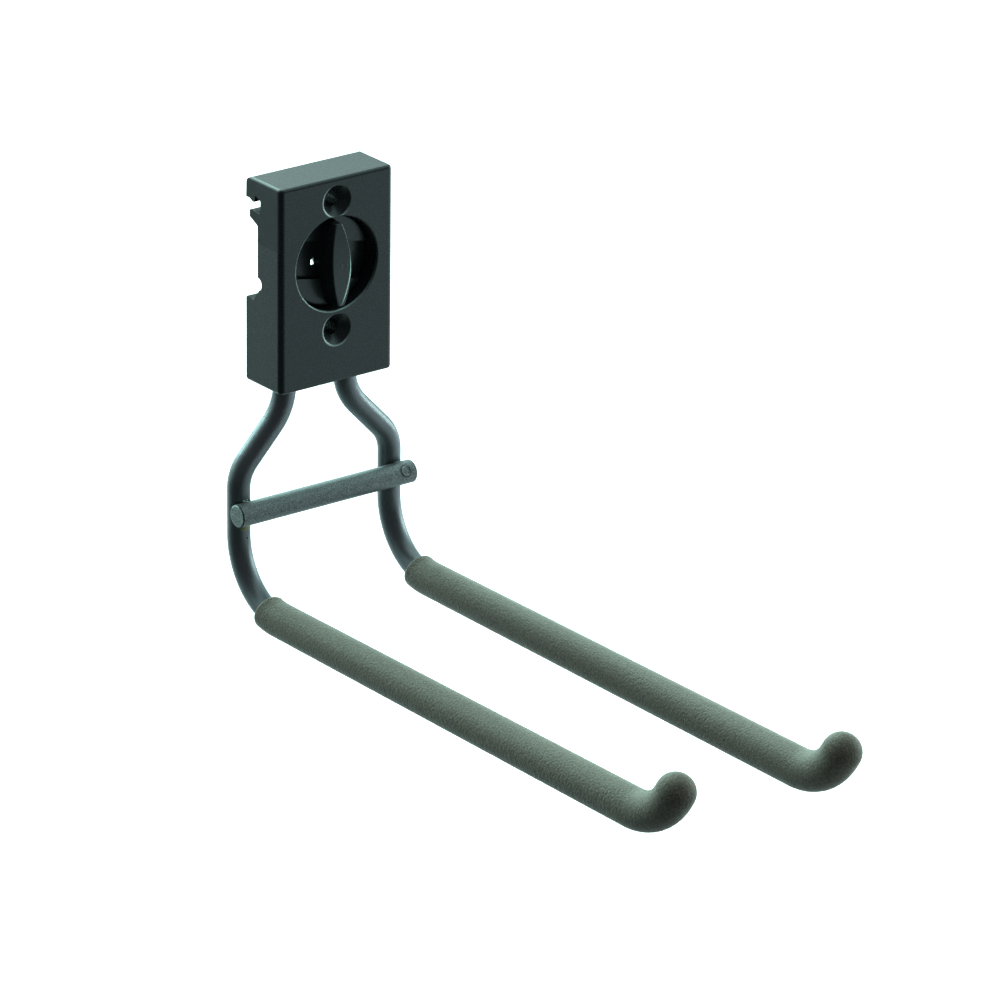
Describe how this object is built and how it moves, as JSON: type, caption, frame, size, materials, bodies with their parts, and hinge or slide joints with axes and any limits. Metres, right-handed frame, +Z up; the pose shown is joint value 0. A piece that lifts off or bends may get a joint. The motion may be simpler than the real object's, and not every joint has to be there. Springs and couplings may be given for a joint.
{
  "type": "garage utility hook",
  "caption": "Long two-armed utility hook of bent steel rod with soft sleeves, tied by a crossbar and held in a moulded track clip with a turning lock knob and screw holes.",
  "frame": {"origin": "on the wall plane behind the housing, midway between the two screw holes, in the middle of the track clip", "axes": "+Z up, +Y into the wall, -Y the way the arms reach, +X to the right seen from the front"},
  "size_m": [0.0766, 0.2576, 0.1546],
  "materials": {
    "housing_plastic": "fine-grained black moulding",
    "knob_plastic": "smooth black moulding",
    "coated_rod": "satin black powder coat",
    "coated_bar": "grainy black powder coat, thinner at the sawn ends",
    "sleeve_rubber": "matt pebbled soft coating"
  },
  "bodies": {
    "hook": {"housing": "housing_plastic", "left_rod": "coated_rod", "right_rod": "coated_rod", "crossbar": "coated_bar", "left_sleeve": "sleeve_rubber", "right_sleeve": "sleeve_rubber"},
    "knob": {"lock_knob": "knob_plastic"}
  },
  "joints": [
    {"name": "lock_turn", "type": "hinge", "parent": "hook", "child": "knob", "pos_m": [0, -0.012, 0.0006], "axis": [0, 1, 0], "range_deg": [0, 90]}
  ]
}
